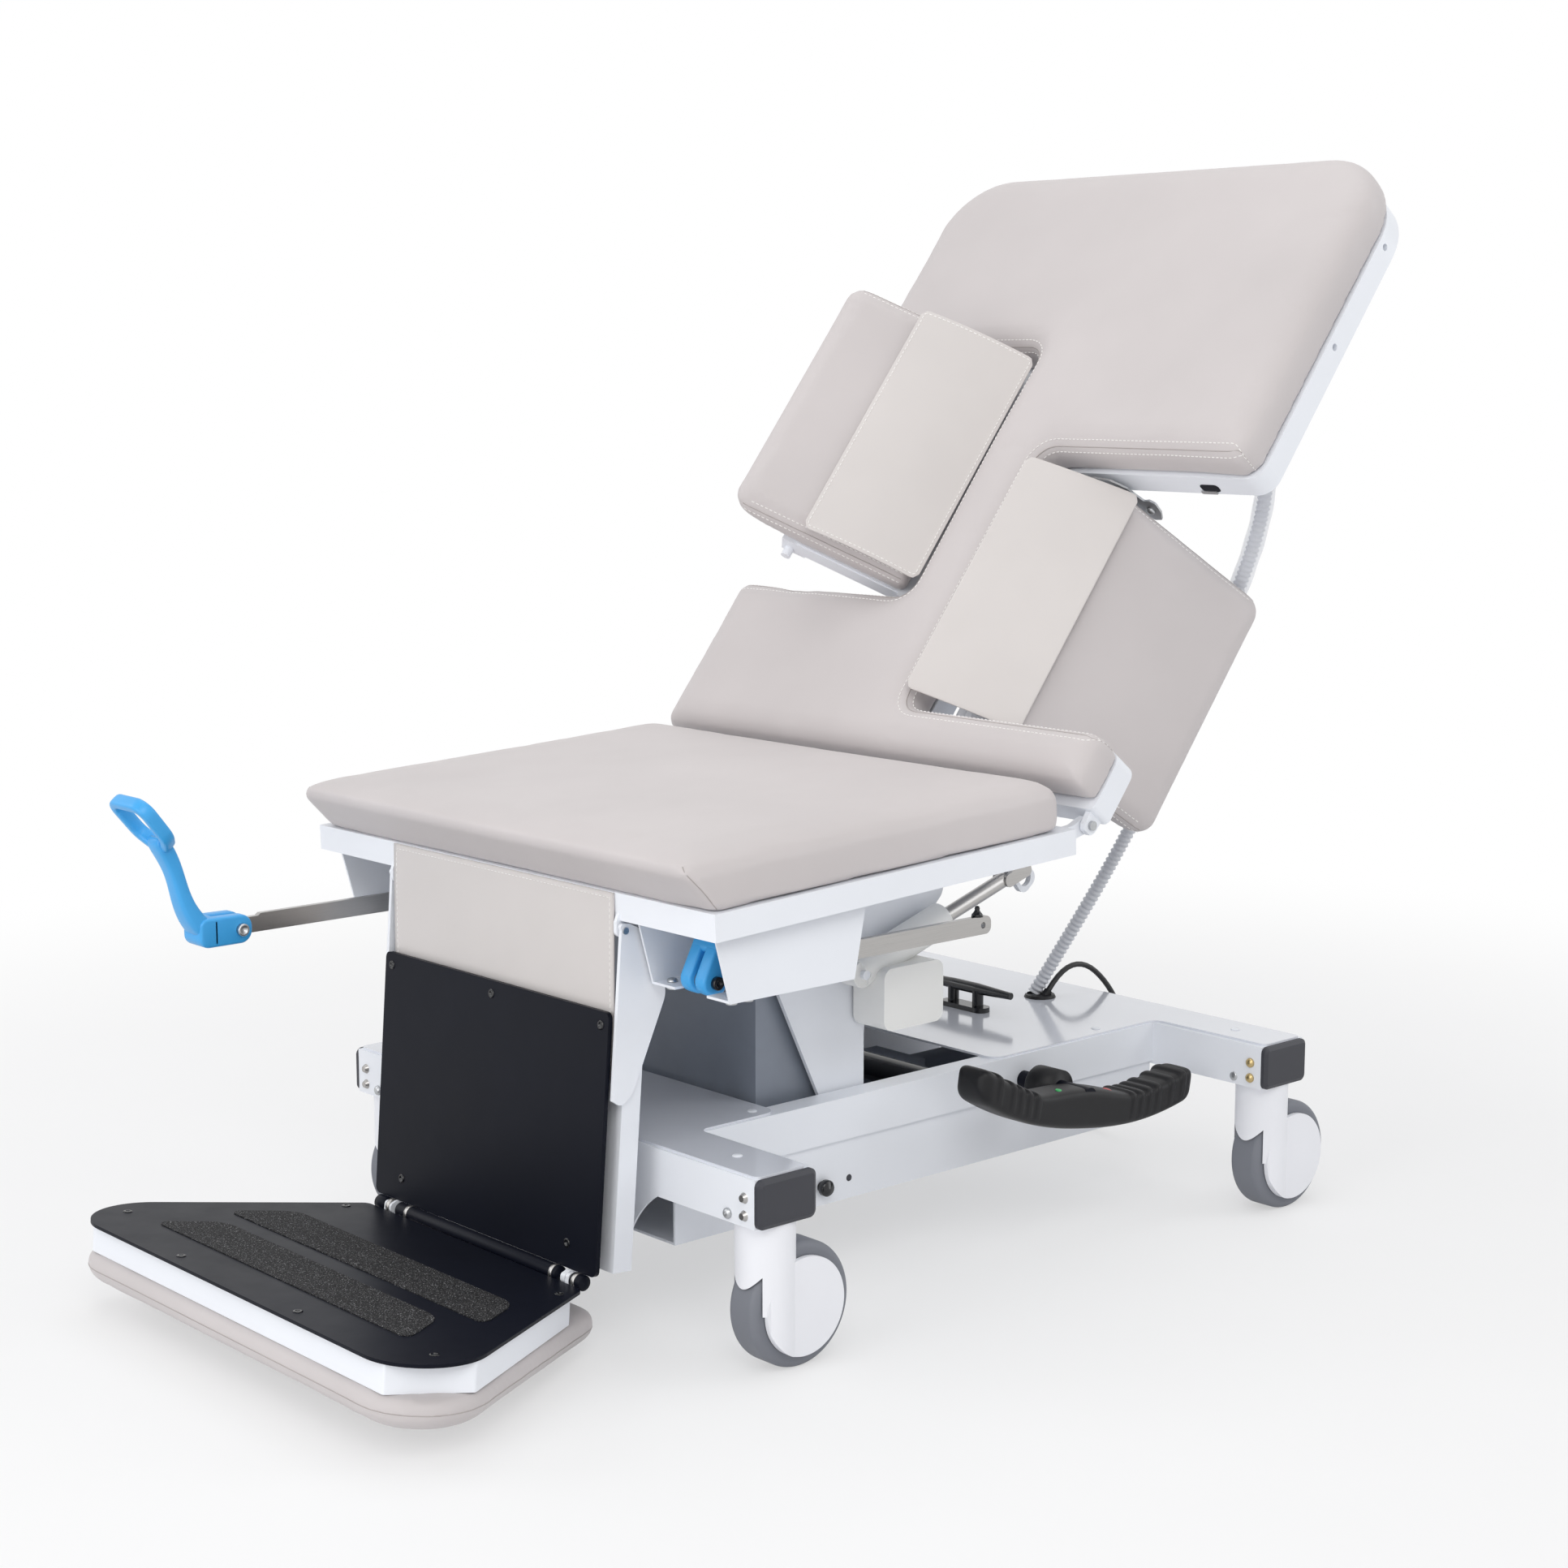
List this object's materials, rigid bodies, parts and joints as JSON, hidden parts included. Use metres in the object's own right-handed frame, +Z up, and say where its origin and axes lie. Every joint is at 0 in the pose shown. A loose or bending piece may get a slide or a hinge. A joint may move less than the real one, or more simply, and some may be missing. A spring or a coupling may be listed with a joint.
{
  "type": "ultrasound table",
  "caption": "Powered examination table for ultrasound work: lifting base on castors, tilting back with swing-away side pads, hanging leg section with folding foot section, slide-out foot loops.",
  "frame": {"origin": "on the floor at the middle of the four castor columns", "axes": "+X towards the head end, -X towards the foot end, +Y towards the far side, -Y towards the near side with the castor pedal, +Z up"},
  "size_m": [1.6626, 0.8212, 1.4247],
  "materials": {
    "white_coat": "satin powder coat",
    "cover_gloss": "gloss",
    "grey_coat": "satin",
    "black_plate": "satin",
    "black_gloss": "gloss",
    "black_rubber": "matte",
    "charcoal": "matte",
    "grip": "granular",
    "tyre_grey": "matte",
    "castor_white": "satin",
    "hub_grey": "satin",
    "vinyl": "soft vinyl",
    "vinyl_pale": "soft vinyl",
    "stainless": "brushed",
    "zinc": "zinc plated",
    "blue": "satin",
    "off_white": "satin",
    "hose_grey": "satin",
    "cord_black": "satin"
  },
  "bodies": {
    "base": {"base_chassis": "white_coat", "front_cover": "cover_gloss", "rear_cover": "cover_gloss", "bumper_caps": "charcoal", "base_bolts": "stainless", "cord_cleat": "black_gloss", "hose_grommet": "black_rubber", "cross_tube": "black_gloss", "lift_motor": "grey_coat", "lift_column_outer": "grey_coat", "lower_hose": "hose_grey", "mains_cord": "cord_black", "mains_coil": "cord_black", "mains_plug": "cord_black"},
    "pedal": {"lock_pedal": "black_rubber", "pedal_shaft": "black_plate"},
    "lift_middle": {"lift_column_mid": "grey_coat"},
    "carriage": {"lift_carriage": "white_coat", "seat_frame": "white_coat", "pivot_pins": "zinc", "seat_cushion": "vinyl", "seat_bolts": "zinc", "front_flap": "vinyl_pale", "pocket_near": "white_coat", "pocket_far": "white_coat", "back_actuator": "off_white"},
    "stirrup_near": {"stirrup_bar_near": "stainless"},
    "loop_near": {"stirrup_loop_near": "blue"},
    "stirrup_far": {"stirrup_bar_far": "stainless"},
    "loop_far": {"stirrup_loop_far": "blue"},
    "leg": {"leg_panel": "black_plate", "leg_frame": "white_coat"},
    "foot": {"foot_plate": "black_plate", "foot_frame": "white_coat", "foot_cushion": "vinyl", "foot_grips": "grip"},
    "back": {"back_frame": "white_coat", "back_board": "white_coat", "back_cushion": "vinyl", "pad_hinge_rods": "zinc", "pad_flap_near": "vinyl_pale", "pad_flap_far": "vinyl_pale", "upper_hose": "hose_grey"},
    "actuator_rod": {"actuator_rod": "stainless"},
    "pad_near": {"pad_tray_near": "white_coat", "pad_cushion_near": "vinyl"},
    "pad_far": {"pad_tray_far": "white_coat", "pad_cushion_far": "vinyl"},
    "castor_front_near": {"castor_housing_front_near": "castor_white"},
    "wheel_front_near": {"castor_tyre_front_near": "tyre_grey", "castor_hub_front_near": "hub_grey"},
    "castor_front_far": {"castor_housing_front_far": "castor_white"},
    "wheel_front_far": {"castor_tyre_front_far": "tyre_grey", "castor_hub_front_far": "hub_grey"},
    "castor_rear_near": {"castor_housing_rear_near": "castor_white"},
    "wheel_rear_near": {"castor_tyre_rear_near": "tyre_grey", "castor_hub_rear_near": "hub_grey"},
    "castor_rear_far": {"castor_housing_rear_far": "castor_white"},
    "wheel_rear_far": {"castor_tyre_rear_far": "tyre_grey", "castor_hub_rear_far": "hub_grey"}
  },
  "joints": [
    {"name": "lift", "type": "slide", "parent": "base", "child": "carriage", "axis": [0, 0, 1], "range_m": [0, 0.3], "deforming": ["lower_hose"]},
    {"name": "lift_middle_slide", "type": "slide", "parent": "base", "child": "lift_middle", "axis": [0, 0, 1], "range_m": [0, 0.15]},
    {"name": "pedal_rock", "type": "hinge", "parent": "base", "child": "pedal", "pos_m": [0.145, -0.308, 0.207], "axis": [0, -1, 0], "range_deg": [0, 19]},
    {"name": "stirrup_near_slide", "type": "slide", "parent": "carriage", "child": "stirrup_near", "axis": [-1, 0, 0], "range_m": [0, 0.22]},
    {"name": "loop_near_fold", "type": "hinge", "parent": "stirrup_near", "child": "loop_near", "pos_m": [-0.491, -0.309, 0.455], "axis": [0, 1, 0], "range_deg": [-6, 0]},
    {"name": "stirrup_far_slide", "type": "slide", "parent": "carriage", "child": "stirrup_far", "axis": [-1, 0, 0], "range_m": [-0.2, 0]},
    {"name": "loop_far_fold", "type": "hinge", "parent": "stirrup_far", "child": "loop_far", "pos_m": [-0.735, 0.309, 0.455], "axis": [0, 1, 0], "range_deg": [-25, 65]},
    {"name": "leg_swing", "type": "hinge", "parent": "carriage", "child": "leg", "pos_m": [-0.545, 0, 0.508], "axis": [0, 1, 0], "range_deg": [0, 84], "deforming": ["front_flap"]},
    {"name": "foot_fold", "type": "hinge", "parent": "leg", "child": "foot", "pos_m": [-0.59131, 0, 0.09435], "axis": [0, 1, 0], "range_deg": [0, 63]},
    {"name": "back_tilt", "type": "hinge", "parent": "carriage", "child": "back", "pos_m": [0.0699, 0, 0.5799], "axis": [0, -1, 0], "range_deg": [-52, 10], "deforming": ["upper_hose"]},
    {"name": "actuator_slide", "type": "slide", "parent": "carriage", "child": "actuator_rod", "axis": [0.9524, 0, 0.3049], "range_m": [-0.112, 0.022]},
    {"name": "pad_near_swing", "type": "hinge", "parent": "back", "child": "pad_near", "pos_m": [0.25795, -0.097, 0.82384], "axis": [-0.6157, 0, -0.788], "range_deg": [0, 114], "deforming": ["pad_flap_near"]},
    {"name": "pad_far_swing", "type": "hinge", "parent": "back", "child": "pad_far", "pos_m": [0.36384, 0.097, 0.95938], "axis": [0.6157, 0, 0.788], "range_deg": [-114, 0], "deforming": ["pad_flap_far"]},
    {"name": "swivel_front_near", "type": "hinge", "parent": "base", "child": "castor_front_near", "pos_m": [-0.452, -0.37, 0.15], "axis": [0, 0, 1], "continuous": true},
    {"name": "spin_front_near", "type": "hinge", "parent": "castor_front_near", "child": "wheel_front_near", "pos_m": [-0.4153, -0.37, 0.075], "axis": [0, 1, 0], "continuous": true},
    {"name": "swivel_front_far", "type": "hinge", "parent": "base", "child": "castor_front_far", "pos_m": [-0.452, 0.37, 0.15], "axis": [0, 0, 1], "continuous": true},
    {"name": "spin_front_far", "type": "hinge", "parent": "castor_front_far", "child": "wheel_front_far", "pos_m": [-0.4153, 0.37, 0.075], "axis": [0, 1, 0], "continuous": true},
    {"name": "swivel_rear_near", "type": "hinge", "parent": "base", "child": "castor_rear_near", "pos_m": [0.452, -0.37, 0.15], "axis": [0, 0, 1], "continuous": true},
    {"name": "spin_rear_near", "type": "hinge", "parent": "castor_rear_near", "child": "wheel_rear_near", "pos_m": [0.4887, -0.37, 0.075], "axis": [0, 1, 0], "continuous": true},
    {"name": "swivel_rear_far", "type": "hinge", "parent": "base", "child": "castor_rear_far", "pos_m": [0.452, 0.37, 0.15], "axis": [0, 0, 1], "continuous": true},
    {"name": "spin_rear_far", "type": "hinge", "parent": "castor_rear_far", "child": "wheel_rear_far", "pos_m": [0.4887, 0.37, 0.075], "axis": [0, 1, 0], "continuous": true}
  ],
  "couplings": [
    {"joint": "lift_middle_slide", "follows": "lift", "ratio": 0.5},
    {"joint": "actuator_slide", "follows": "back_tilt", "m_per_rad": 0.122}
  ]
}
